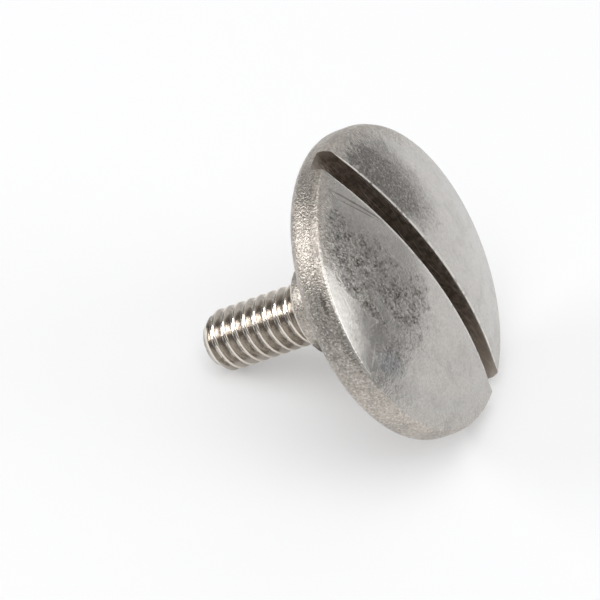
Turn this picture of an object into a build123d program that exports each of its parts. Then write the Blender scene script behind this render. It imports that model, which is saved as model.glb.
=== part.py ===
from build123d import *
import math
import os

# A slotted shoulder bolt turned from one bar: a wide domed head, a short plain shoulder and a threaded end.
# It is drawn upright, with the head's bearing face at height zero, and then laid on its rim and its tip.
# Lengths are millimetres and angles are degrees.

# Head
head_diameter = 31.75
head_height = 6.35
dome_radius = 45.0
rim_height = 2.78
bevel_angle = 22.4
rim_round = 1.4
rim_round_sweep = 70

# Driver slot, cut a little beside the middle
slot_width = 2.85
slot_depth = 4.2
slot_offset = 0.62

# Shoulder
shoulder_diameter = 9.525
shoulder_length = 7.7
shoulder_root_bevel = 0.25
shoulder_edge_break = 0.25

# Threaded end, 1/4 inch with 20 turns to the inch, right-handed
thread_diameter = 6.35
thread_length = 12.5
thread_pitch = 1.27
thread_depth = 0.687
crest_share = 1 / 8
root_share = 1 / 4
thread_land = 0.2
thread_start_angle = 77
tip_diameter = 4.3
tip_taper_length = 1.4

# Cuts run past the metal by this much
overrun = 0.6

head_radius = head_diameter / 2
shoulder_radius = shoulder_diameter / 2
thread_radius = thread_diameter / 2
tip_radius = tip_diameter / 2
shoulder_end = -shoulder_length
tip_end = shoulder_end - thread_length
tip_taper_end = tip_end + tip_taper_length
rim_round_centre = rim_round * math.sin(math.radians(rim_round_sweep))

# The groove is made in half turns, as many as leave a plain land at both of its ends
half_turn = 180
half_turns_per_turn = 2
half_turn_rise = thread_pitch / half_turns_per_turn
groove_mouth = thread_pitch * (1 - crest_share)
groove_room = shoulder_end - tip_taper_end - groove_mouth
groove_half_turns = math.floor((groove_room - 2 * thread_land) / half_turn_rise)
groove_start = tip_taper_end + (groove_room - groove_half_turns * half_turn_rise) / 2


def turned_head():
    """The head and shoulder before slotting: a half outline spun about the axis, its top turned to a dome."""
    top = head_height + overrun
    top_radius = head_radius - (top - rim_height) * math.tan(math.radians(bevel_angle))
    rim_foot = CenterArc((head_radius - rim_round, rim_round_centre), rim_round, 0, -rim_round_sweep)
    rim = Polyline((0, top), (top_radius, top), (head_radius, rim_height), rim_foot @ 0)
    shoulder = Polyline(
        rim_foot @ 1,
        (shoulder_radius + shoulder_root_bevel, 0),
        (shoulder_radius, -shoulder_root_bevel),
        (shoulder_radius, shoulder_end + shoulder_edge_break),
        (shoulder_radius - shoulder_edge_break, shoulder_end),
        (0, shoulder_end),
        (0, top),
    )
    half = make_face([rim, rim_foot, shoulder])
    ball = Pos(0, 0, head_height - dome_radius) * Rot(90, 0, 0) * Sphere(dome_radius)
    return revolve(Plane.XZ * half, axis=Axis.Z) & ball


def slot_cutter():
    """A straight saw cut across the whole head, with a flat floor."""
    length = head_diameter + 2 * overrun
    height = slot_depth + overrun
    place = Pos(0, slot_offset, head_height - slot_depth + height / 2)
    return place * Box(length, slot_width, height)


def helix(radius, height, step):
    """Half a turn of the thread's helix, a number of half turns on from its start at a height."""
    rail = Edge.make_helix(thread_pitch, half_turn_rise, radius)
    return Pos(0, 0, height + step * half_turn_rise) * Rot(0, 0, thread_start_angle + step * half_turn) * rail


def half_circle(radius, height, step):
    """The half circle at a height that lies over the helix's half turn."""
    start = thread_start_angle + step * half_turn
    return Edge.make_circle(radius, Plane.XY.offset(height), start_angle=start, end_angle=start + half_turn)


def strips(rails):
    """Ruled faces from each rail to the next."""
    return [Face.make_surface_from_curves(low, high) for low, high in zip(rails, rails[1:])]


def threaded_end():
    """The threaded shank: helical strips for the groove and the crests, sewn to plain ends and a taper."""
    root_radius = thread_radius - thread_depth
    flank_rise = (groove_mouth - thread_pitch * root_share) / 2
    groove = (
        (thread_radius, groove_start),
        (root_radius, groove_start + flank_rise),
        (root_radius, groove_start + groove_mouth - flank_rise),
        (thread_radius, groove_start + groove_mouth),
    )
    faces = []
    for step in range(groove_half_turns):
        rails = [helix(radius, height, step) for radius, height in groove]
        next_turn = step + half_turns_per_turn
        if next_turn < groove_half_turns:
            rails.append(helix(thread_radius, groove_start, next_turn))
        else:
            rails.append(half_circle(thread_radius, shoulder_end, step))
        faces += strips(rails)
    for step in range(half_turns_per_turn):
        rails = (
            half_circle(tip_radius, tip_end, step),
            half_circle(thread_radius, tip_taper_end, step),
            helix(thread_radius, groove_start, step),
        )
        faces += strips(rails)
    for step in (0, groove_half_turns):
        turn = Rot(0, 0, thread_start_angle + step * half_turn)
        corners = [(radius, 0, height + step * half_turn_rise) for radius, height in groove]
        faces.append(turn * Face(Wire.make_polygon(corners)))
    for radius, height in ((tip_radius, tip_end), (thread_radius, shoulder_end)):
        faces.append(Face(Wire([half_circle(radius, height, step) for step in range(half_turns_per_turn)])))
    return Solid(Shell(faces))


def lying_tilt():
    """The axis's rise from the floor when the rim's foot and the end's widest or last edge both touch it."""
    tilts = []
    for height, radius in ((tip_taper_end, thread_radius), (tip_end, tip_radius)):
        along = rim_round_centre - height
        across = head_radius - rim_round - radius
        lean = math.asin(rim_round / math.hypot(along, across))
        tilts.append(math.degrees(math.atan2(across, along) + lean))
    return min(tilts)


def laid_down(bolt):
    """The bolt on its side, head towards +X, with the middle of its box over the origin, on the floor."""
    lying = Rot(0, 90 - lying_tilt(), 0) * bolt
    box = lying.bounding_box()
    return Pos(-box.center().X, -box.center().Y, -box.min.Z) * lying


bolt = laid_down(turned_head() - slot_cutter() + threaded_end())
os.makedirs("parts", exist_ok=True)
export_step(bolt, "parts/shoulder_bolt.step")
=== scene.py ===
"""The looks of a slotted shoulder bolt: a closed surface with its thread, a worn finish and a pale stage."""

import math

import bmesh
import bpy
import numpy as np
from mathutils import Matrix, Vector


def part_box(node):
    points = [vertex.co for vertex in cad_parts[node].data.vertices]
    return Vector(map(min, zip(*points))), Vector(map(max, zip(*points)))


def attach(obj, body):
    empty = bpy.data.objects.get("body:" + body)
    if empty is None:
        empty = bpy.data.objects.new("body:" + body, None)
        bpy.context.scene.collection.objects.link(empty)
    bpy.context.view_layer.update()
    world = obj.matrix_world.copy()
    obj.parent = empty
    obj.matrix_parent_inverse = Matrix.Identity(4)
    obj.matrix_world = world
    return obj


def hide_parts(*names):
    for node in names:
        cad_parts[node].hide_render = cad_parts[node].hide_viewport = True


bl_info = {
    "name": "Slotted shoulder bolt",
    "version": (1, 0, 0),
    "blender": (4, 5, 0),
    "location": "View3D > Sidebar > Bolt",
    "description": "Builds a worn slotted shoulder bolt around its packed frame",
    "category": "Object",
}

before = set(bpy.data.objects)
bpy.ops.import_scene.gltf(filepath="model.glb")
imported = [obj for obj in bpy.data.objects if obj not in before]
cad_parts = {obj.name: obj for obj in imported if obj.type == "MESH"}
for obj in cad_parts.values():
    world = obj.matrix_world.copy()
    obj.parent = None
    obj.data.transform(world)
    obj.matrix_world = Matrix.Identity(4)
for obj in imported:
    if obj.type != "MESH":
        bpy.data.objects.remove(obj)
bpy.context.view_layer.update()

NODE = "shoulder_bolt"
PIECE = "worn_bolt"

# What each corner of the surface tells its finish
ZONES = ("dome", "slot", "thread", "groove", "edge")

# Points closer than this, in metres, are welded
WELD = 1e-8

# Folds sharper than this stay sharp
SHARP_ANGLE = math.radians(38)

# Columns of points round the axis, over each half of the dome and over each end of the slot
HALF_COLUMNS = 100
END_COLUMNS = 8

# Rows of points on each stretch of the surface
CORNER_ROWS = 7
EDGE_ROWS = 4
CAP_ROWS = 48
SLOT_WALL_ROWS = 6
RIM_WALL_ROWS = 4
RIM_FOOT_ROWS = 12
UNDERSIDE_ROWS = 10
SHOULDER_ROWS = 8
SHOULDER_END_ROWS = 5
TIP_ROWS = 6

# The crease is looked for in this many steps between this share of the head's radius and the whole of it
CREASE_STEPS = 20000
CREASE_FROM = 0.9

# The slot's edge is worn by at most this share of the dome's breadth and rise beside it
EDGE_SHARE = 0.25

# The thread's outline in pitches: half of its flat crest, a flank, and the easing of the flank's ends
CREST_HALF = 0.095
FLANK = 0.28
FLANK_EASE = 0.09

# Rows over half a thread, as distances from its crest in pitches, and turns added to cover both ends
HALF_THREAD = (0, 0.06, 0.08, 0.095, 0.11, 0.13, 0.19, 0.25, 0.31, 0.36, 0.38, 0.41, 0.45)
SPARE_TURNS = 3

# The tip's face takes the root blotches as this depth of the groove does
TIP_GROOVE = 0.3

# Noises of the finish: waves in a metre, detail, roughness and distortion
NOISES = {
    "fine": (5200, 2, 0.6, 0.0),
    "grit": (3800, 3, 0.7, 0.0),
    "dimple": (4600, 1, 0.5, 0.0),
    "blots": (1500, 3, 0.6, 0.0),
    "clouds": (420, 4, 0.6, 0.5),
    "smudge": (760, 3, 0.55, 0.8),
}
STROKE_NOISE = (1, 2, 0.5, 0.0)
NOISE_MIDDLE = 0.5

# Specks are cut out of a noise: its name, and the values at which they begin and are full
SPECKS = {
    "pits": ("grit", 0.52, 0.62),
    "glints": ("grit", 0.46, 0.36),
    "smudges": ("smudge", 0.42, 0.6),
    "dull": ("clouds", 0.47, 0.66),
    "dust": ("fine", 0.45, 0.65),
    "tarnish_and_shade": ("clouds", 0.42, 0.62),
    "oxide": ("blots", 0.4, 0.6),
    "root_blotches": ("blots", 0.38, 0.6),
    "rubbed": ("blots", 0.3, 0.5),
}

# A share times its rest times this is 1 at the middle and 0 at both ends
BELL = 4

# Marks are ellipses seen along the axis: centre, half length and half width in metres, and angle.
# An endless half size sets no limit that way
ENDLESS = 1.0
SHADES = (
    ((-0.0080, 0.0054), (0.0070, 0.0044), 0.0),
    ((-0.0086, 0.0044), (0.0054, 0.0030), 0.1),
)
STREAK = ((-0.0036, -0.0094), (0.0036, 0.0006), -0.3)
# The bands are painted highlight: they brighten the dome inside the crease on the lower left, where the
# right softbox shines
HIGHLIGHT_BANDS = (
    ((-0.0076, -0.0128), (0.0064, 0.0020), -0.54),
    ((-0.0022, -0.0143), (0.0026, 0.0012), -0.25),
)
BLOOM = ((0.0005, -0.0128), (0.0019, 0.0014), 0.3)
SCORES = (
    ((-0.0112, -0.00185), (0.0039, 0.00010), 0.236),
    ((-0.0108, -0.00225), (0.0024, 0.00006), 0.30),
    ((-0.0100, 0.0094), (0.0015, 0.00005), -0.81),
)
NICK = ((0.01146, 0.00210), (0.0007, 0.0004), 0.0)
# Painted shade: darker where the rim's lower left mirrors the shaded floor
LOW_RIM_SHADE = ((-0.0062, -0.0143), (0.0058, 0.0022), -0.39)
HAZE_RING = ((0, 0), (0.0142, 0.0142), 0)
CREASE_RING = ((0, 0), (0.0144, 0.0144), 0)
UPPER_SIDE = ((-0.0144, 0), (0.01, ENDLESS), 0)
SLOT_MOUTH = ((-0.008, 0), (0.024, ENDLESS), 0)
SLOT_END = ((0.002, 0), (0.0175, ENDLESS), 0)

# Stains and smears are marks with a strength, and a smear has a height and a half height too.
# The first smear is painted shade, a dark patch on the shoulder's underside by the head; the second is a
# stain on the rim
STAINS = (
    (((-0.0094, -0.0077), (0.0038, 0.0027), -0.3), 1.3),
    (((-0.0112, -0.0064), (0.0024, 0.0026), 0.6), 0.7),
    (((-0.0046, -0.0070), (0.0086, 0.0044), -0.12), 0.8),
    (((-0.0050, -0.0103), (0.0034, 0.0009), -0.05), 0.9),
    (((-0.0018, -0.0072), (0.0030, 0.0020), 0.5), 0.6),
    (((0.0003, -0.0122), (0.0026, 0.0018), 0.4), 0.7),
    (((-0.0015, -0.0031), (0.0032, 0.0018), -0.65), 0.45),
)
SMEARS_AND_SHADE = (
    (((0.0018, -0.0045), (0.0014, 0.0010), 0.3, (-0.0067, 0.0017)), 0.8),
    (((-0.0088, -0.0131), (0.0014, 0.0004), -0.63, (0.0027, 0.0003)), 0.5),
)

# Scratches on the dome and saw lines in the slot: directions, and length, breadth and depth in metres
SCRATCH_ANGLES = (0.5, 1.3, 2.1, 2.8)
SCRATCH_SIZE = (0.0034, 0.00017, 0.003)
SCRATCH_SHIFT = (0.3, 0.1)
SAW_ANGLES = (0.1, -0.16)
SAW_SIZE = (0.006, 0.00017, 0.00017)

# Heights of the relief, in metres
DIMPLE_RELIEF = 0.00008
DOME_RELIEF = 0.000005
STAIN_RELIEF = 0.00003
SCRATCH_RELIEF = 0.000002

# The mix node's colour sockets share their names with others, so they go by number
MIX_FACTOR = 0
MIX_FIRST = 6
MIX_SECOND = 7
MIX_RESULT = 2

# The stage in metres, but the sensor in millimetres; directions are an azimuth and an elevation in degrees
FLOOR_HALF = 4.0
LAMP_DISTANCE = 0.6
RIGHT_SOFTBOX = {"direction": (2, 30), "shape": "DISK", "size": (0.42, 0.42)}
LEFT_SOFTBOX = {"direction": (-170, 27), "shape": "RECTANGLE", "size": (0.38, 0.09)}
WALL = {"direction": (82, 6), "fade": (0.4, 0.95)}
CEILING = {"direction": (-80, 76), "fade": (0.7, 0.97)}
WHITE = (1, 1, 1, 1)
SEEN_RAYS = ("Is Camera Ray", "Is Glossy Ray", "Is Transmission Ray")
CAMERA_CLIP = (0.01, 20)
SENSOR_WIDTH = 36


def length(name, description, default):
    """A size in metres that a user may change."""
    return bpy.props.FloatProperty(
        name=name, description=description, default=default, min=0.0, unit="LENGTH", precision=5
    )


def point(name, description, default):
    """A point in metres that a user may change."""
    return bpy.props.FloatVectorProperty(
        name=name, description=description, default=default, size=3, subtype="TRANSLATION", unit="LENGTH"
    )


def tint(name, description, default):
    """A colour that a user may change."""
    return bpy.props.FloatVectorProperty(
        name=name, description=description, default=default, size=3, min=0.0, max=1.0, subtype="COLOR"
    )


def amount(name, description, default, top=10.0):
    """A plain number that a user may change."""
    return bpy.props.FloatProperty(name=name, description=description, default=default, min=0.0, max=top)


def turn(name, description, degrees):
    """An angle that a user may change."""
    return bpy.props.FloatProperty(
        name=name, description=description, default=math.radians(degrees), subtype="ANGLE", unit="ROTATION"
    )


class BoltSizes(bpy.types.PropertyGroup):
    """The bolt's sizes, which follow the solid's, and its wear."""

    head_radius: length("Head radius", "Half the head's width", 0.015875)
    head_height: length("Head height", "Bearing face to the top of the dome", 0.00635)
    dome_radius: length("Dome radius", "Radius of the ball the dome is part of", 0.045)
    rim_height: length("Rim height", "Bearing face to the foot of the bevel", 0.00278)
    bevel_angle: turn("Bevel angle", "Lean of the bevel under the dome", 22.4)
    rim_round: length("Rim round", "Radius of the rim's lower round", 0.0014)
    rim_round_sweep: turn("Rim round sweep", "How far the lower round turns", 70)
    crease_round: length("Crease round", "Wear on the crease round the dome", 0.0005)
    bevel_round: length("Bevel round", "Wear where the bevel meets the rim", 0.0012)
    slot_width: length("Slot width", "Width of the driver slot", 0.00285)
    slot_depth: length("Slot depth", "Top of the dome to the slot's floor", 0.0042)
    slot_offset: length("Slot offset", "How far the slot lies beside the middle", 0.00062)
    slot_edge: length("Slot edge", "Wear on the slot's upper edges", 0.0001)
    shoulder_radius: length("Shoulder radius", "Half the shoulder's width", 0.0047625)
    shoulder_length: length("Shoulder length", "Bearing face to the shoulder's end", 0.0077)
    shoulder_root: length("Shoulder root", "Round between the shoulder and the head", 0.0004)
    shoulder_edge: length("Shoulder edge", "Edge break at the shoulder's end", 0.00025)
    shoulder_wear: length("Shoulder wear", "Wear on both sides of that edge break", 0.0002)
    thread_radius: length("Thread radius", "Half the thread's full diameter", 0.003175)
    thread_length: length("Thread length", "Shoulder's end to the tip", 0.0125)
    thread_pitch: length("Thread pitch", "One turn of the thread along the axis", 0.00127)
    thread_depth: length("Thread depth", "Crest to root", 0.00065)
    thread_start: length("Thread start", "A crest's distance from the bearing face, lowest side", 0.0113)
    run_out: length("Run out", "Length over which the thread dies away at the shoulder", 0.0007)
    tip_radius: length("Tip radius", "Half the tip's width", 0.00215)
    tip_taper: length("Tip taper", "Length of the tip's taper", 0.0014)
    tip_round: length("Tip round", "Wear on the tip's edge", 0.00025)


class BoltFinish(bpy.types.PropertyGroup):
    """The colours and the roughness of the steel."""

    steel: tint("Steel", "Clean worn steel of the dome", (0.525, 0.503, 0.476))
    # Stain also paints the shade on the rim's lower left
    stain: tint("Stain", "Dull speckled patches on the dome", (0.2, 0.187, 0.174))
    bloom: tint("Bloom", "Bluish spot on the dome", (0.30, 0.315, 0.325))
    grain: tint("Grain", "Tumbled rim and shoulder", (0.52, 0.475, 0.425))
    slot: tint("Slot", "Oxide on the slot's walls", (0.39, 0.33, 0.285))
    thread: tint("Thread", "Flanks of the thread", (0.56, 0.517, 0.467))
    crest: tint("Crest", "Rubbed crests of the thread", (0.8, 0.74, 0.66))
    # Dirt also paints a patch of shade on the shoulder's underside, and the blotches towards the thread's
    # roots
    dirt: tint("Dirt", "Grime in pits and roots", (0.06, 0.045, 0.035))
    # Bright also paints the highlight band inside the crease
    bright: tint("Bright", "Rubbed edges, scratches and glints", (0.86, 0.835, 0.79))
    dome_roughness: amount("Dome roughness", "Roughness of the clean dome", 0.2, 1.0)
    rim_roughness: amount("Rim roughness", "Roughness of the tumbled rim and shoulder", 0.38, 1.0)
    slot_roughness: amount("Slot roughness", "Roughness of the sawn slot", 0.5, 1.0)
    thread_roughness: amount("Thread roughness", "Roughness of the clean thread", 0.17, 1.0)
    edge_roughness: amount("Edge roughness", "Roughness of the rubbed edges", 0.55, 1.0)


class BoltStage(bpy.types.PropertyGroup):
    """The floor, the lamps and the camera."""

    floor: tint("Floor", "Colour of the floor", (0.93, 0.935, 0.945))
    whiteness: amount("Whiteness", "How far the floor is lifted to white", 0.3, 1.0)
    room: amount("Room", "Strength of the light from all round", 0.22)
    wall: amount("Wall", "Added strength of the wall behind", 0.5)
    ceiling: amount("Ceiling", "Added strength of the ceiling", 1.95)
    right_lamp: amount("Right lamp", "Power of the softbox on the right", 0.63, 100.0)
    left_lamp: amount("Left lamp", "Power of the softbox on the left", 0.96, 100.0)
    aim: point("Aim", "The point that the camera looks at", (-0.003809, -0.004007, 0.013285))
    distance: length("Distance", "Camera to the point it looks at", 0.65)
    view_width: length("View width", "Width of the picture at that point", 0.058619)
    elevation: turn("Elevation", "Camera's height above the horizon", 42.231)
    azimuth: turn("Azimuth", "Camera's direction, from +X towards +Y", -75.78)
    roll: turn("Roll", "Camera's turn about its own axis", -1.213)


class Pose:
    """Where the lying bolt's own frame is.

    Its x points down across the axis, its y across, and its z along the axis to the dome. The tilt is the
    axis's rise from the floor when the rim's foot and the end's widest or last edge both touch it."""

    def __init__(self, s):
        drop = s.rim_round * math.sin(s.rim_round_sweep)
        tip_end = -(s.shoulder_length + s.thread_length)
        tilts = []
        for height, radius in ((tip_end + s.tip_taper, s.thread_radius), (tip_end, s.tip_radius)):
            along = drop - height
            across = s.head_radius - s.rim_round - radius
            tilts.append(math.atan2(across, along) + math.asin(s.rim_round / math.hypot(along, across)))
        self.tilt = min(tilts)
        rise, run = math.sin(self.tilt), math.cos(self.tilt)
        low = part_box(NODE)[0]
        height = (s.head_radius - s.rim_round) * run + s.rim_round - drop * rise
        self.base = Vector((low[0] - tip_end * run + s.tip_radius * rise, 0.0, height))
        self.basis = np.array(((rise, 0.0, -run), (0.0, 1.0, 0.0), (run, 0.0, rise)))

    def place(self, points):
        """Points of the bolt's own frame, set into the world."""
        return points @ self.basis + np.array(self.base)


class Shell:
    """Grids of points that are joined into one closed mesh, with a value for each zone at each corner."""

    def __init__(self):
        self.points = []
        self.zones = []
        self.faces = []
        self.count = 0

    def grid(self, points, **zones):
        """Adds a rows by columns grid of points; a zone is one number or an array of the grid's shape."""
        rows, columns = points.shape[:2]
        ids = self.count + np.arange(rows * columns).reshape(rows, columns)
        quads = np.stack((ids[:-1, :-1], ids[:-1, 1:], ids[1:, 1:], ids[1:, :-1]), axis=-1)
        self.points.append(points.reshape(-1, 3))
        values = [np.broadcast_to(zones.get(name, 0.0), (rows, columns)).reshape(-1) for name in ZONES]
        self.zones.append(np.stack(values, axis=-1))
        self.faces.append(quads.reshape(-1, 4))
        self.count += rows * columns

    def mesh(self, name, pose):
        """Welds the grids where their points meet, turns all faces outwards and gives a smooth mesh."""
        points = pose.place(np.concatenate(self.points))
        zones = np.concatenate(self.zones)
        faces = np.concatenate(self.faces)
        mesh = bpy.data.meshes.new(name)
        mesh.from_pydata(points, [], faces)
        corners = faces.reshape(-1)
        for i, zone in enumerate(ZONES):
            layer = mesh.attributes.new(zone, "FLOAT", "CORNER")
            layer.data.foreach_set("value", zones[corners, i].astype(np.float32))
        work = bmesh.new()
        work.from_mesh(mesh)
        bmesh.ops.remove_doubles(work, verts=work.verts, dist=WELD)
        bmesh.ops.dissolve_degenerate(work, edges=work.edges, dist=WELD)
        bmesh.ops.recalc_face_normals(work, faces=work.faces)
        work.to_mesh(mesh)
        work.free()
        mesh.shade_smooth()
        mesh.set_sharp_from_angle(angle=SHARP_ANGLE)
        return mesh


def dome_height(s, radius):
    """Height of the dome's ball over the bearing face, at a distance from the axis."""
    return s.head_height - s.dome_radius + np.sqrt(s.dome_radius**2 - radius**2)


def arc(centre, radius, start, stop, count):
    """Points of a circle's arc in the outline's plane, from one angle to another."""
    a = np.linspace(start, stop, count)
    return np.stack((centre[0] + radius * np.cos(a), centre[1] + radius * np.sin(a)), axis=-1)


def worn_corner(before, corner, after, radius, count):
    """An arc that rounds a corner of an outline, tangent to both of its sides.

    Its centre lies on the line that halves the corner, the radius over the half angle's sine away."""
    before, corner, after = (np.array(p, float) for p in (before, corner, after))
    one = (before - corner) / np.linalg.norm(before - corner)
    two = (after - corner) / np.linalg.norm(after - corner)
    half = math.acos(np.clip(one @ two, -1, 1)) / 2
    middle = one + two
    centre = corner + middle / np.linalg.norm(middle) * radius / math.sin(half)
    first = corner + one * radius / math.tan(half) - centre
    last = corner + two * radius / math.tan(half) - centre
    a, b = math.atan2(first[1], first[0]), math.atan2(last[1], last[0])
    b = a + (b - a + math.pi) % (2 * math.pi) - math.pi
    return arc(centre, radius, a, b, count)


def rim_outline(s):
    """The rim from the edge of the dome down to the slot's floor: worn crease, bevel, worn foot and wall.

    The crease is where the bevel's straight line comes closest to the dome's ball."""
    radii = np.linspace(s.head_radius * CREASE_FROM, s.head_radius, CREASE_STEPS + 1)
    bevel = s.rim_height + (s.head_radius - radii) / math.tan(s.bevel_angle)
    crease = radii[np.abs(bevel - dome_height(s, radii)).argmin()]
    top = (crease, float(dome_height(s, crease)))
    foot = (s.head_radius, s.rim_height)
    floor = (s.head_radius, s.head_height - s.slot_depth)
    lean = math.asin(crease / s.dome_radius)
    inside = (crease - math.cos(lean), top[1] + math.sin(lean))
    upper = worn_corner(inside, top, foot, s.crease_round, CORNER_ROWS)
    lower = worn_corner(top, foot, floor, s.bevel_round, CORNER_ROWS)
    upper[0, 1] = dome_height(s, upper[0, 0])
    return np.concatenate((upper, lower, [floor]))


def columns(s, radius):
    """Angles round the axis that end on the slot's two walls, at each of some distances from the axis.

    The far half, the slot's upper end, the near half and its lower end follow each other round."""
    near_wall = s.slot_offset - s.slot_width / 2
    far_wall = s.slot_offset + s.slot_width / 2
    low, high = np.arcsin(near_wall / radius), np.arcsin(far_wall / radius)
    turns = (high, np.pi - high, np.pi - low, 2 * np.pi + low, 2 * np.pi + high)
    counts = (HALF_COLUMNS, END_COLUMNS, HALF_COLUMNS, END_COLUMNS)
    spans = []
    for start, stop, count in zip(turns[:-1], turns[1:], counts):
        share = np.linspace(0, 1, count + 1)
        spans.append(start[:, None] + (stop - start)[:, None] * share)
    return spans


def ring(outline, angles):
    """An outline of distances and heights carried round the axis, a row of points for each of its points."""
    radius = np.broadcast_to(outline[:, 0:1], angles.shape)
    height = np.broadcast_to(outline[:, 1:2], angles.shape)
    return np.stack((radius * np.cos(angles), radius * np.sin(angles), height), axis=-1)


def ease(x):
    """A ramp from 0 to 1 that starts and ends level."""
    x = np.clip(x, 0, 1)
    return x * x * (3 - 2 * x)


def thread_drop(phase):
    """How far below its crest the thread is, as a share of its depth, at a distance from a crest in pitches.

    The crest and the root are flat, the flanks straight, and a parabola eases each of their corners."""
    away = np.abs((phase + 0.5) % 1.0 - 0.5)
    x = (away - CREST_HALF) / FLANK
    soft = FLANK_EASE
    low = np.clip(x + soft, 0, 2 * soft) ** 2 / (4 * soft)
    high = np.clip(1 + soft - x, 0, 2 * soft) ** 2 / (4 * soft)
    straight = np.clip(x, soft, 1 - soft)
    return np.where(x < soft, low, np.where(x > 1 - soft, 1 - high, straight))


def add_half(shell, s, outline, wall, angles):
    """Half of the dome, from its worn edge at the slot to the crease, and the slot's wall under it.

    Rows run from the wall to the crease at the same x, on the dome's ball, and the edge is a quarter round.
    Gives each column's share of the wall's half length."""
    crease, crease_height = outline[0]
    x = crease * np.cos(angles)
    crease_y = crease * np.sin(angles)
    top = dome_height(s, np.hypot(x, wall))
    wear = np.minimum(s.slot_edge, EDGE_SHARE * np.minimum(np.abs(crease_y - wall), top - crease_height))
    wear = np.maximum(wear, 0.0)
    outward = np.sign(crease_y[len(x) // 2] - wall)
    edge = []
    for a in np.linspace(0, np.pi / 2, EDGE_ROWS):
        y = wall + outward * wear * (1 - math.cos(a))
        z = dome_height(s, np.hypot(x, y)) - wear * (1 - math.sin(a))
        edge.append(np.stack((x, y, z), axis=-1))
    start = wall + outward * wear
    y = start + (crease_y - start) * np.linspace(0, 1, CAP_ROWS + 1)[1:, None]
    cap = np.stack((np.broadcast_to(x, y.shape), y, dome_height(s, np.hypot(x, y))), axis=-1)
    rubbed = np.zeros((EDGE_ROWS + CAP_ROWS, 1))
    rubbed[:EDGE_ROWS] = 1.0
    shell.grid(np.concatenate((np.array(edge), cap)), dome=1.0, edge=rubbed)

    share = x / math.sqrt(crease**2 - wall**2)
    sides = np.sqrt(outline[:, 0] ** 2 - wall**2)[:, None] * share
    heights = np.broadcast_to(outline[:, 1:2], sides.shape)
    lower = np.stack((sides, np.full_like(sides, wall), heights), axis=-1)
    lift = np.linspace(0, 1, SLOT_WALL_ROWS + 1)[1:, None]
    crown = crease_height + (top - wear - crease_height) * lift
    upper = np.stack((np.broadcast_to(x, crown.shape), np.full_like(crown, wall), crown), axis=-1)
    shell.grid(np.concatenate((lower[::-1], upper)), slot=1.0)
    return share


def add_head(shell, s):
    """The rim above the slot's floor, the dome's two halves with the slot's walls, and the slot's floor."""
    outline = rim_outline(s)
    far, upper_end, near, _ = columns(s, outline[:, 0])
    fade = np.zeros((len(outline), 1))
    fade[:CORNER_ROWS, 0] = np.linspace(1, 0, CORNER_ROWS)
    for span in (far, near):
        shell.grid(ring(outline, span), dome=fade)
    far_share = add_half(shell, s, outline, s.slot_offset + s.slot_width / 2, far[0])
    near_share = add_half(shell, s, outline, s.slot_offset - s.slot_width / 2, near[0])
    floor_y = s.head_radius * np.sin(upper_end[-1])
    half = np.sqrt(s.head_radius**2 - floor_y**2)
    blend = np.linspace(0, 1, len(floor_y))[:, None]
    x = half[:, None] * (far_share * (1 - blend) + near_share[::-1] * blend)
    y = np.broadcast_to(floor_y[:, None], x.shape)
    shell.grid(np.stack((x, y, np.full_like(x, s.head_height - s.slot_depth)), axis=-1), slot=1.0)


def shank_outline(s):
    """From the slot's floor level down the rim, under the head and along the shoulder to its end face."""
    drop = s.rim_round * math.sin(s.rim_round_sweep)
    wall = np.linspace(s.head_height - s.slot_depth, drop, RIM_WALL_ROWS + 1)[:-1]
    wall = np.stack((np.full_like(wall, s.head_radius), wall), axis=-1)
    foot = arc((s.head_radius - s.rim_round, drop), s.rim_round, 0, -s.rim_round_sweep, RIM_FOOT_ROWS)
    root_centre = (s.shoulder_radius + s.shoulder_root, -s.shoulder_root)
    root = arc(root_centre, s.shoulder_root, np.pi / 2, np.pi, CORNER_ROWS)
    under = np.linspace(foot[-1, 0], root[0, 0], UNDERSIDE_ROWS + 2)[1:-1]
    under = np.stack((under, np.zeros_like(under)), axis=-1)
    end = -s.shoulder_length
    edge = (s.shoulder_radius, end + s.shoulder_edge)
    lip = (s.shoulder_radius - s.shoulder_edge, end)
    side = np.linspace(root[-1, 1], edge[1], SHOULDER_ROWS + 2)[1:-1]
    side = np.stack((np.full_like(side, s.shoulder_radius), side), axis=-1)
    outer = worn_corner(root[-1], edge, lip, s.shoulder_wear, EDGE_ROWS)
    inner = worn_corner(edge, lip, (0, end), s.shoulder_wear, EDGE_ROWS)
    return np.concatenate((wall, foot, under, root, side, outer, inner))


def threaded_end(s, angles):
    """The thread's grid of points, and how deep in the groove each of them is.

    Rows follow the helix, which rises a pitch a turn. Rows past either end are drawn back to that end, where
    they weld. The thread fades out at the shoulder, and the tip's rounded taper cuts it off."""
    top = -s.shoulder_length
    end = top - s.thread_length
    half = np.array(HALF_THREAD)
    parts = np.concatenate((half, [0.5], 1 - half[:0:-1]))
    turns = int(math.ceil(s.thread_length / s.thread_pitch)) + SPARE_TURNS
    steps = (np.arange(turns)[:, None] + parts).reshape(-1)
    crest = -s.thread_start + s.thread_pitch * angles / (2 * np.pi)
    first = math.ceil((top - crest.min()) / s.thread_pitch)
    z = np.clip(crest + s.thread_pitch * (first - steps[:, None]), end, top)
    drop = thread_drop((z - crest) / s.thread_pitch) * ease((top - z) / s.run_out)
    taper = s.tip_radius + (z - end) * (s.thread_radius - s.tip_radius) / s.tip_taper
    near = np.clip((s.tip_round - (z - end)) / s.tip_round, 0, 1)
    taper = taper - s.tip_round * (1 - np.sqrt(1 - near**2))
    radius = np.minimum(s.thread_radius - s.thread_depth * drop, taper)
    return np.stack((radius * np.cos(angles), radius * np.sin(angles), z), axis=-1), drop


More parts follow.
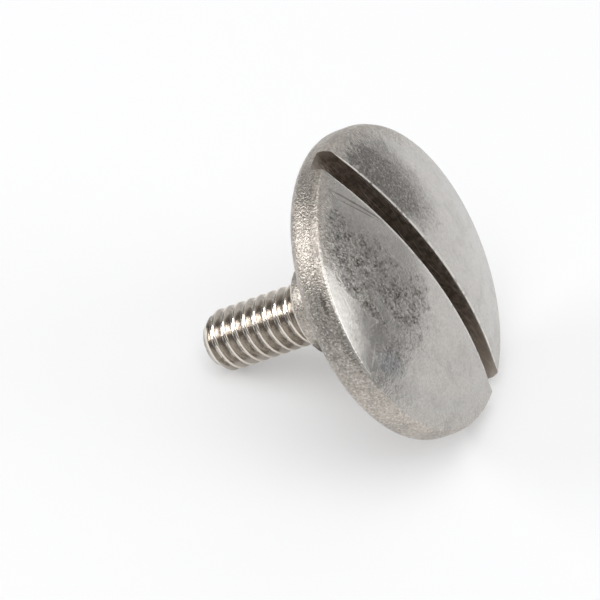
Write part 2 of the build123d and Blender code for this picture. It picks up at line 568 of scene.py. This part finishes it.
def add_shank(shell, s):
    """The rim's foot, the underside and the shoulder, the thread, and the faces at the thread's two ends."""
    spans = columns(s, np.array([s.head_radius]))
    angles = np.concatenate([span[0, :-1] for span in spans] + [spans[0][0, :1] + 2 * np.pi])
    outline = shank_outline(s)
    # The outline ends with the edge break's two worn corners, rubbed but for their first and last row
    rubbed = np.zeros((len(outline), 1))
    rubbed[1 - 2 * EDGE_ROWS : -1] = 1.0
    shell.grid(ring(outline, np.broadcast_to(angles, (len(outline), len(angles)))), edge=rubbed)
    thread, drop = threaded_end(s, angles)
    shell.grid(thread, thread=1.0, groove=drop)
    lip = ring(outline[-1:], angles[None])[0]
    shell.grid(lip + (thread[0] - lip) * np.linspace(0, 1, SHOULDER_END_ROWS)[:, None, None])
    flat = thread[-1] * np.array((1, 1, 0))
    centre = np.array((0, 0, -s.shoulder_length - s.thread_length))
    tip = flat * np.linspace(1, 0, TIP_ROWS)[:, None, None] + centre
    shell.grid(tip, thread=1.0, groove=TIP_GROOVE)


def bearing(azimuth, elevation):
    """The direction that an azimuth, from +X towards +Y, and an elevation give."""
    flat = math.cos(elevation)
    return Vector((flat * math.cos(azimuth), flat * math.sin(azimuth), math.sin(elevation)))


class Socket:
    """A shader socket that takes part in Python sums: each operator adds one Math node."""

    def __init__(self, graph, socket):
        self.graph = graph
        self.socket = socket

    def math(self, operation, first, second):
        """A Math node on two values, either of which may be a plain number."""
        return self.graph.node("ShaderNodeMath", {"operation": operation}, {0: first, 1: second})

    def __add__(self, other):
        return self.math("ADD", self, other)

    def __sub__(self, other):
        return self.math("SUBTRACT", self, other)

    def __mul__(self, other):
        return self.math("MULTIPLY", self, other)

    def __radd__(self, other):
        return self.math("ADD", other, self)

    def __rsub__(self, other):
        return self.math("SUBTRACT", other, self)

    def __rmul__(self, other):
        return self.math("MULTIPLY", other, self)


class Graph:
    """A node tree that is filled through node() and through sums on the sockets it returns."""

    def __init__(self, tree):
        self.tree = tree
        tree.nodes.clear()

    def node(self, kind, settings=None, inputs=None, output=0):
        """Adds a node, sets its settings and then its inputs, and gives one of its outputs."""
        made = self.tree.nodes.new(kind)
        for name, value in (settings or {}).items():
            setattr(made, name, value)
        for name, value in (inputs or {}).items():
            if isinstance(value, Socket):
                self.tree.links.new(value.socket, made.inputs[name])
            else:
                made.inputs[name].default_value = value
        return Socket(self, made.outputs[output]) if made.outputs else None

    def mix(self, factor, first, second):
        """One colour laid over another by a factor."""
        first, second = (c if isinstance(c, Socket) else (*c, 1.0) for c in (first, second))
        settings = {"data_type": "RGBA", "clamp_factor": True}
        inputs = {MIX_FACTOR: factor, MIX_FIRST: first, MIX_SECOND: second}
        return self.node("ShaderNodeMix", settings, inputs, MIX_RESULT)

    def step(self, value, low, high):
        """A smooth step from 0 at low to 1 at high, and the other way round where low is the larger."""
        settings = {"interpolation_type": "SMOOTHSTEP"}
        return self.node("ShaderNodeMapRange", settings, {"Value": value, "From Min": low, "From Max": high})

    def noise(self, vector, scale, detail, rough, distortion):
        """Cloudy noise between 0 and 1."""
        inputs = {"Vector": vector, "Scale": scale, "Detail": detail, "Roughness": rough}
        return self.node("ShaderNodeTexNoise", None, {**inputs, "Distortion": distortion})

    def turned(self, vector, location, rotation, scale=(1, 1, 1)):
        """Coordinates that start at a place, are turned and are measured in a scale of their own."""
        inputs = {"Vector": vector, "Location": location, "Rotation": rotation, "Scale": scale}
        return self.node("ShaderNodeMapping", {"vector_type": "TEXTURE"}, inputs)

    def patch(self, vector, centre, half, angle, height=(0, ENDLESS)):
        """How far a point lies from the middle of an ellipse seen along the axis: 1 is on its edge.

        The last pair is the middle's height and half height, which make it a ball drawn out three ways."""
        spot = self.turned(vector, (*centre, height[0]), (0, 0, angle), (*half, height[1]))
        return self.node("ShaderNodeVectorMath", {"operation": "LENGTH"}, {0: spot}, "Value")

    def strokes(self, vector, rotation, size, shift=(0, 0, 0)):
        """Noise drawn out into strokes: their direction, and their length, breadth and depth in metres."""
        return self.noise(self.turned(vector, shift, rotation, size), *STROKE_NOISE)

    def facing(self, vector, direction):
        """How far a direction agrees with another that is given by its azimuth and elevation in degrees."""
        inputs = {0: vector, 1: bearing(*np.radians(direction))}
        return self.node("ShaderNodeVectorMath", {"operation": "DOT_PRODUCT"}, inputs, "Value")


class SteelFinish:
    """The worn steel's colour, roughness and relief, from marks and noises on the bolt's own coordinates.

    A number that a mark is multiplied by says how strongly it covers what lies under it. The pair that ends
    a mark or a step says where it begins and where it is full."""

    def __init__(self, graph, tints, pose):
        self.graph = graph
        self.tints = tints
        spot = graph.node("ShaderNodeTexCoord", None, None, "Object")
        self.own = graph.turned(spot, pose.base, (0, math.pi / 2 - pose.tilt, 0))
        self.zone = {
            name: graph.node("ShaderNodeAttribute", {"attribute_name": name}, None, "Fac") for name in ZONES
        }
        self.noise = {name: graph.noise(self.own, *values) for name, values in NOISES.items()}
        self.specks = {name: graph.step(self.noise[cut], *at) for name, (cut, *at) in SPECKS.items()}
        self.ragged = self.sway("clouds", 1.6) + self.sway("blots", 0.9)
        streak = self.mark(STREAK, self.ragged, 1.4, 0.2)
        stains = sum(self.mark(mark, self.ragged, 1.3, 0.3) * strength for mark, strength in STAINS)
        self.stain = graph.step(stains, 0.0, 1.3) * (1 - streak * 0.75)
        # The painted highlight bands inside the crease, with the lighter streak added
        self.highlight_and_streak = sum(self.mark(mark, self.ragged * 0.5, 1.2, 0.3) for mark in HIGHLIGHT_BANDS) + streak * 0.4
        self.scratches = self.scratch_marks()
        # Darker in blotches towards the thread's roots
        self.root_blotches = graph.step(self.zone["groove"], 0.2, 0.9) * self.specks["root_blotches"]
        self.cap = self.zone["dome"] * (1 - self.frayed_crease())

    def sway(self, name, size):
        """A noise's swing to either side of zero."""
        return (self.noise[name] - NOISE_MIDDLE) * size

    def mark(self, mark, wobble, begins, full):
        """A step on the distance from a mark's middle, in half sizes, with an edge that a noise moves."""
        return self.graph.step(self.graph.patch(self.own, *mark) + wobble, begins, full)

    def scratch_marks(self):
        """Fine scratches in a few directions, each set shifted so that no two are alike."""
        sets = []
        for i, angle in enumerate(SCRATCH_ANGLES):
            shift = (SCRATCH_SHIFT[0] * i, SCRATCH_SHIFT[1] * i, 0)
            sets.append(self.graph.strokes(self.own, (0, 0, angle), SCRATCH_SIZE, shift))
        return sum(self.graph.step(strokes, 0.64, 0.72) for strokes in sets)

    def frayed_crease(self):
        """Where the tumbled finish runs over the crease onto the dome: mostly above, not on the painted
        highlight or the streak.
        """
        g = self.graph
        frayed = self.mark(CREASE_RING, self.sway("blots", 0.3), 0.94, 1.04)
        upper = g.step(g.patch(self.own, *UPPER_SIDE), 1.0, 0.6)
        return frayed * g.step(self.highlight_and_streak, 1.0, 0.1) * (upper * 0.5 + 0.22)

    def dome_colour(self):
        """Steel with a dull wash, a bluish bloom, dark pits and scores, bright glints and scratches, a
        lighter streak and a painted highlight band inside the crease.
        """
        g, f, stain, specks = self.graph, self.tints, self.stain, self.specks
        shade = sum(self.mark(mark, self.ragged * 0.7, 1.12, 0.7) * 0.5 for mark in SHADES)
        bloom = self.mark(BLOOM, self.ragged, 1.2, 0.3)
        haze = self.mark(HAZE_RING, self.sway("clouds", 0.15), 0.86, 0.93)
        wobble = self.sway("grit", 2.5)
        scores = sum(self.mark(mark, wobble, 1.3, 0.7) for mark in SCORES)
        wash = stain * (0.45 + 0.45 * specks["smudges"]) + shade * 1.05
        wash = wash + specks["dull"] * 0.2 + specks["dust"] * 0.15
        pitted = stain * (0.42 + 0.45 * specks["smudges"]) + shade * 0.5 + 0.1
        dark = specks["pits"] * pitted + scores * 0.6
        light = specks["glints"] * (stain * 0.35 + shade * 0.15 + 0.1)
        # The painted highlight bands and the streak lighten the steel
        light = light + self.scratches * 0.12 + self.highlight_and_streak * 0.25
        colour = g.mix(wash, f.steel, f.stain)
        colour = g.mix(bloom * 0.5 + haze * 0.12, colour, f.bloom)
        colour = g.mix(dark, colour, f.dirt)
        return g.mix(light, colour, f.bright)

    def rim_colour(self):
        """Tumbled grain with cloudy tarnish, dark pits, bright glints and a stain, and painted shade low on
        the rim and on the shoulder's underside.
        """
        g, f, specks = self.graph, self.tints, self.specks
        # Painted shade on the rim's lower left, where it mirrors the shaded floor, laid with the cloudy
        # tarnish
        tarnish_and_shade = self.mark(LOW_RIM_SHADE, self.ragged, 1.2, 0.5)
        wobble = self.sway("blots", 1.5)
        # The first smear is a patch of painted shade on the shoulder's underside, the second a stain on the
        # rim
        smear_and_shade = sum(self.mark(mark, wobble, 1.2, 0.4) * strength for mark, strength in SMEARS_AND_SHADE)
        colour = g.mix(specks["tarnish_and_shade"] * 0.3 + tarnish_and_shade * 0.3, f.grain, f.stain)
        colour = g.mix(specks["pits"] * 0.32, colour, f.dirt)
        colour = g.mix(specks["glints"] * 0.5, colour, f.bright)
        return g.mix(smear_and_shade, colour, f.dirt)

    def slot_colour(self):
        """Oxide with dirt and bright saw lines, cleaner towards its lower mouth and its ends."""
        g, f = self.graph, self.tints
        saw = [g.strokes(self.own, (0, angle, 0), SAW_SIZE) for angle in SAW_ANGLES]
        lines = sum(g.step(strokes, 0.6, 0.7) for strokes in saw)
        mouth = g.step(g.patch(self.own, *SLOT_MOUTH), 0.5, 0.95)
        end = g.step(g.patch(self.own, *SLOT_END), 0.93, 1.0)
        colour = g.mix(self.specks["oxide"] * 0.5, f.slot, f.dirt)
        colour = g.mix(lines * 0.6, colour, f.bright)
        return g.mix(mouth * 0.75 + end * 0.6, colour, f.grain)

    def thread_colour(self):
        """Bright flanks, darker in blotches towards the roots, and rubbed crests."""
        g, f = self.graph, self.tints
        crest = g.step(self.zone["groove"], 0.16, 0.03)
        return g.mix(crest, g.mix(self.root_blotches * 0.45, f.thread, f.dirt), f.crest)

    def colour(self):
        """The parts' colours by zone, with a painted highlight on the crease and rubbed light on the edges.
        """
        g, f, zone = self.graph, self.tints, self.zone
        crease = zone["dome"] * (1 - zone["dome"]) * BELL
        nick = g.step(g.patch(self.own, *NICK), 1.2, 0.6)
        worn = zone["edge"] * (self.specks["rubbed"] * 0.85 + nick)
        colour = g.mix(self.cap, self.rim_colour(), self.dome_colour())
        colour = g.mix(zone["thread"], colour, self.thread_colour())
        colour = g.mix(zone["slot"], colour, self.slot_colour())
        # A painted highlight on the crease line where the bands lie
        colour = g.mix(crease * self.highlight_and_streak * 0.8, colour, f.bright)
        return g.mix(worn, colour, f.bright)

    def roughness(self):
        """The rim's roughness, drawn to each zone's own where that zone is."""
        f, zone = self.tints, self.zone
        rough = f.rim_roughness + self.sway("blots", 0.2)
        dome = f.dome_roughness + self.stain * 0.1 + self.sway("blots", 0.12)
        rough = rough + self.cap * (dome - rough)
        rough = rough + zone["thread"] * (f.thread_roughness + self.root_blotches * 0.13 - rough)
        rough = rough + zone["slot"] * (f.slot_roughness - rough)
        return rough + zone["edge"] * (f.edge_roughness - rough)

    def relief(self):
        """Dimples of the tumbled parts, grit on the dome and its stains, and scratches cut into the dome."""
        zone = self.zone
        tumbled = (1 - self.cap) * (1 - zone["thread"]) * (1 - zone["slot"])
        grit = self.noise["grit"] * zone["dome"] * (DOME_RELIEF + STAIN_RELIEF * self.stain)
        relief = self.noise["dimple"] * tumbled * DIMPLE_RELIEF + grit
        return relief - self.scratches * zone["dome"] * SCRATCH_RELIEF


def steel_material(tints, pose):
    """Worn stainless: stained, scratched dome, tumbled rim and shoulder, dirty slot and bright thread."""
    material = bpy.data.materials.new("worn_stainless")
    material.use_nodes = True
    g = Graph(material.node_tree)
    finish = SteelFinish(g, tints, pose)
    bump = g.node("ShaderNodeBump", None, {"Strength": 1.0, "Distance": 1.0, "Height": finish.relief()})
    inputs = {
        "Base Color": finish.colour(),
        "Metallic": 1.0,
        "Roughness": finish.roughness(),
        "Normal": bump,
    }
    steel = g.node("ShaderNodeBsdfPrincipled", None, inputs)
    g.node("ShaderNodeOutputMaterial", None, {"Surface": steel})
    return material


class BOLT_OT_body(bpy.types.Operator):
    """Builds the bolt as one closed surface in place of its solid, with its finish"""

    bl_idname = "bolt.body"
    bl_label = "Bolt"

    def execute(self, context):
        sizes = context.scene.bolt_sizes
        pose = Pose(sizes)
        shell = Shell()
        add_head(shell, sizes)
        add_shank(shell, sizes)
        mesh = shell.mesh(PIECE, pose)
        mesh.materials.append(steel_material(context.scene.bolt_finish, pose))
        bolt = bpy.data.objects.new(PIECE, mesh)
        context.scene.collection.objects.link(bolt)
        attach(bolt, "root")
        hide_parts(NODE)
        return {"FINISHED"}


def floor_material(stage):
    """Matt pale card, lifted towards white where it is seen or mirrored, with the bolt's shadow kept."""
    material = bpy.data.materials.new("pale_card")
    material.use_nodes = True
    g = Graph(material.node_tree)
    card = g.node("ShaderNodeBsdfDiffuse", None, {"Color": (*stage.floor, 1.0)})
    white = g.node("ShaderNodeEmission", None, {"Color": WHITE, "Strength": 1.0})
    seen = sum(g.node("ShaderNodeLightPath", None, None, kind) for kind in SEEN_RAYS)
    floor = g.node("ShaderNodeMixShader", None, {0: seen * stage.whiteness, 1: card, 2: white})
    g.node("ShaderNodeOutputMaterial", None, {"Surface": floor})
    return material


def add_floor(scene, stage):
    """A wide flat square under the bolt."""
    mesh = bpy.data.meshes.new("floor")
    corners = np.array(((-1, -1, 0), (1, -1, 0), (1, 1, 0), (-1, 1, 0)), float) * FLOOR_HALF
    mesh.from_pydata(corners, [], [(0, 1, 2, 3)])
    mesh.materials.append(floor_material(stage))
    floor = bpy.data.objects.new("floor", mesh)
    scene.collection.objects.link(floor)


def add_softbox(scene, name, power, direction, shape, size):
    """An area lamp that faces the bolt from an azimuth and an elevation in degrees."""
    back = bearing(*np.radians(direction))
    data = bpy.data.lights.new(name, "AREA")
    data.shape = shape
    data.size, data.size_y = size
    data.energy = power
    lamp = bpy.data.objects.new(name, data)
    lamp.location = back * LAMP_DISTANCE
    lamp.rotation_euler = back.to_track_quat("Z", "Y").to_euler()
    scene.collection.objects.link(lamp)


def room_world(stage):
    """A dim room with a paler wall behind the bolt and a bright ceiling."""
    world = bpy.data.worlds.new("soft_room")
    world.use_nodes = True
    g = Graph(world.node_tree)
    ray = g.node("ShaderNodeTexCoord")
    wall = g.step(g.facing(ray, WALL["direction"]), *WALL["fade"])
    ceiling = g.step(g.facing(ray, CEILING["direction"]), *CEILING["fade"])
    strength = stage.room + stage.wall * wall + stage.ceiling * ceiling
    room = g.node("ShaderNodeBackground", None, {"Color": WHITE, "Strength": strength})
    g.node("ShaderNodeOutputWorld", None, {"Surface": room})
    return world


def add_camera(scene, stage):
    """A camera at a distance from its aim, level with the floor but for its roll about the line of sight."""
    back = bearing(stage.azimuth, stage.elevation)
    right = Vector((-math.sin(stage.azimuth), math.cos(stage.azimuth), 0))
    up = back.cross(right)
    spin = Matrix.Rotation(stage.roll, 3, back)
    axes = Matrix((spin @ right, spin @ up, back)).transposed().to_4x4()
    data = bpy.data.cameras.new("camera")
    data.sensor_width = SENSOR_WIDTH
    data.lens = SENSOR_WIDTH * stage.distance / stage.view_width
    data.clip_start, data.clip_end = CAMERA_CLIP
    camera = bpy.data.objects.new("camera", data)
    camera.matrix_world = Matrix.Translation(Vector(stage.aim) + back * stage.distance) @ axes
    scene.collection.objects.link(camera)
    scene.camera = camera


class BOLT_OT_stage(bpy.types.Operator):
    """Sets up the floor, the lamps and the camera at the photograph's angle"""

    bl_idname = "bolt.stage"
    bl_label = "Stage"

    def execute(self, context):
        scene = context.scene
        stage = scene.bolt_stage
        add_floor(scene, stage)
        add_softbox(scene, "right_softbox", stage.right_lamp, **RIGHT_SOFTBOX)
        add_softbox(scene, "left_softbox", stage.left_lamp, **LEFT_SOFTBOX)
        scene.world = room_world(stage)
        scene.view_settings.view_transform = "Standard"
        add_camera(scene, stage)
        return {"FINISHED"}


class BOLT_PT_panel(bpy.types.Panel):
    """Lists the bolt's operators and values"""

    bl_idname = "BOLT_PT_panel"
    bl_label = "Shoulder bolt"
    bl_space_type = "VIEW_3D"
    bl_region_type = "UI"
    bl_category = "Bolt"

    def draw(self, context):
        layout = self.layout
        for operator in OPERATORS:
            layout.operator(operator.bl_idname)
        for group, name in GROUPS.items():
            box = layout.box()
            box.label(text=group.__doc__)
            values = getattr(context.scene, name)
            for value in group.__annotations__:
                box.prop(values, value)


GROUPS = {BoltSizes: "bolt_sizes", BoltFinish: "bolt_finish", BoltStage: "bolt_stage"}
OPERATORS = (BOLT_OT_body, BOLT_OT_stage)
CLASSES = (*GROUPS, *OPERATORS, BOLT_PT_panel)


def register():
    """Makes the classes known and gives each scene its values."""
    for made in CLASSES:
        bpy.utils.register_class(made)
    for group, name in GROUPS.items():
        setattr(bpy.types.Scene, name, bpy.props.PointerProperty(type=group))


def unregister():
    """Takes back what register() did."""
    for name in GROUPS.values():
        delattr(bpy.types.Scene, name)
    for made in reversed(CLASSES):
        bpy.utils.unregister_class(made)


def main():
    """Builds everything."""
    register()
    bpy.ops.bolt.body()
    bpy.ops.bolt.stage()


if __name__ == "__main__":
    main()
